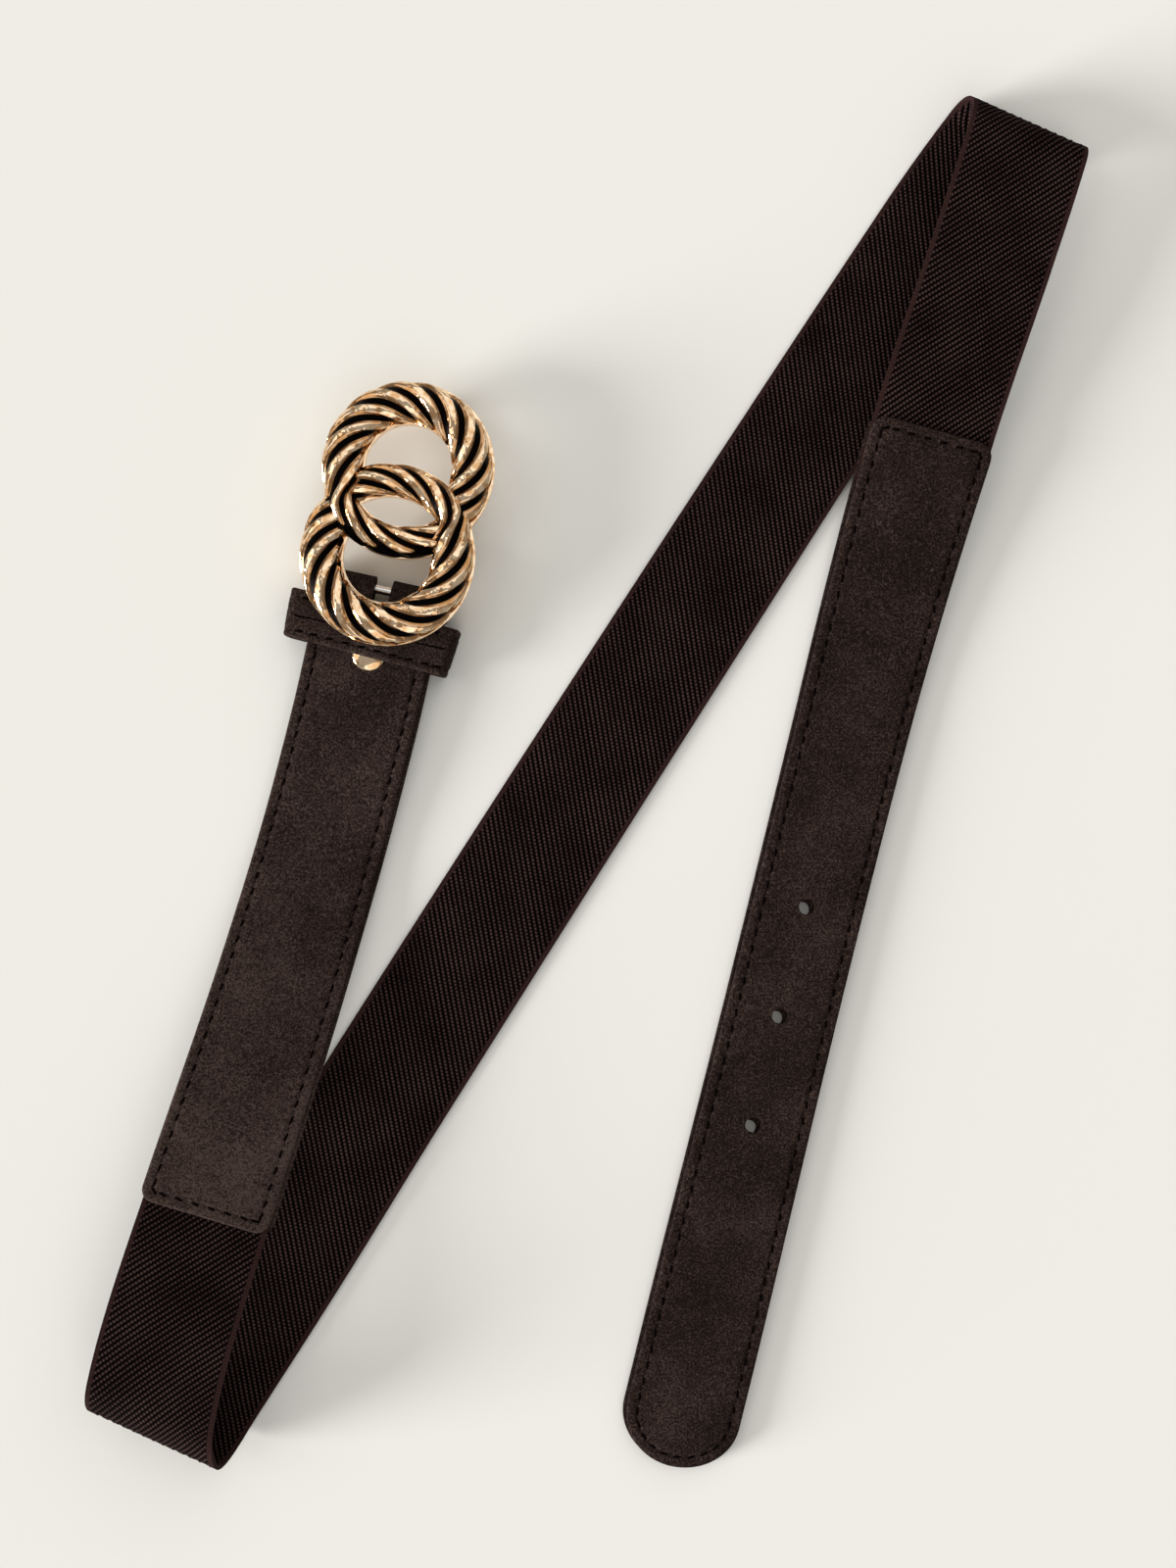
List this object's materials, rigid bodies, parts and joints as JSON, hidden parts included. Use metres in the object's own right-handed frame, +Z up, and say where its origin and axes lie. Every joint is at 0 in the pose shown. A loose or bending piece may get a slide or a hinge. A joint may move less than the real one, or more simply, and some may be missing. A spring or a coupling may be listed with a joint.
{
  "type": "elastic stretch belt",
  "caption": "Stretch belt: twill elastic band with suede tabs, keeper loop and a gold double rope-ring buckle, laid in a flat zigzag.",
  "frame": {"origin": "bottom centre of the belt's bounding box, on the surface that it lies on", "axes": "+Y towards the fold at the top of the zigzag, along the belt's longest extent; +Z up, the shortest extent"},
  "size_m": [0.2614, 0.3646, 0.0213],
  "materials": {
    "elastic": "dark brown twill elastic webbing",
    "suede": "dark brown suede, stitched near its edges",
    "gold": "polished pale gold cast alloy with black enamel between the strands",
    "steel": "bright steel rod"
  },
  "bodies": {
    "belt": {"elastic_band": "elastic", "buckle_tab": "suede", "tip_tab": "suede", "keeper_loop": "suede", "tab_rivet": "gold"},
    "buckle": {"buckle_rings": "gold", "crossbar": "steel"}
  },
  "joints": [
    {"name": "buckle_hinge", "type": "hinge", "parent": "belt", "child": "buckle", "pos_m": [-0.05501, 0.05171, 0.00445], "axis": [0.9759, -0.2183, 0], "range_deg": [-90, 11]}
  ]
}
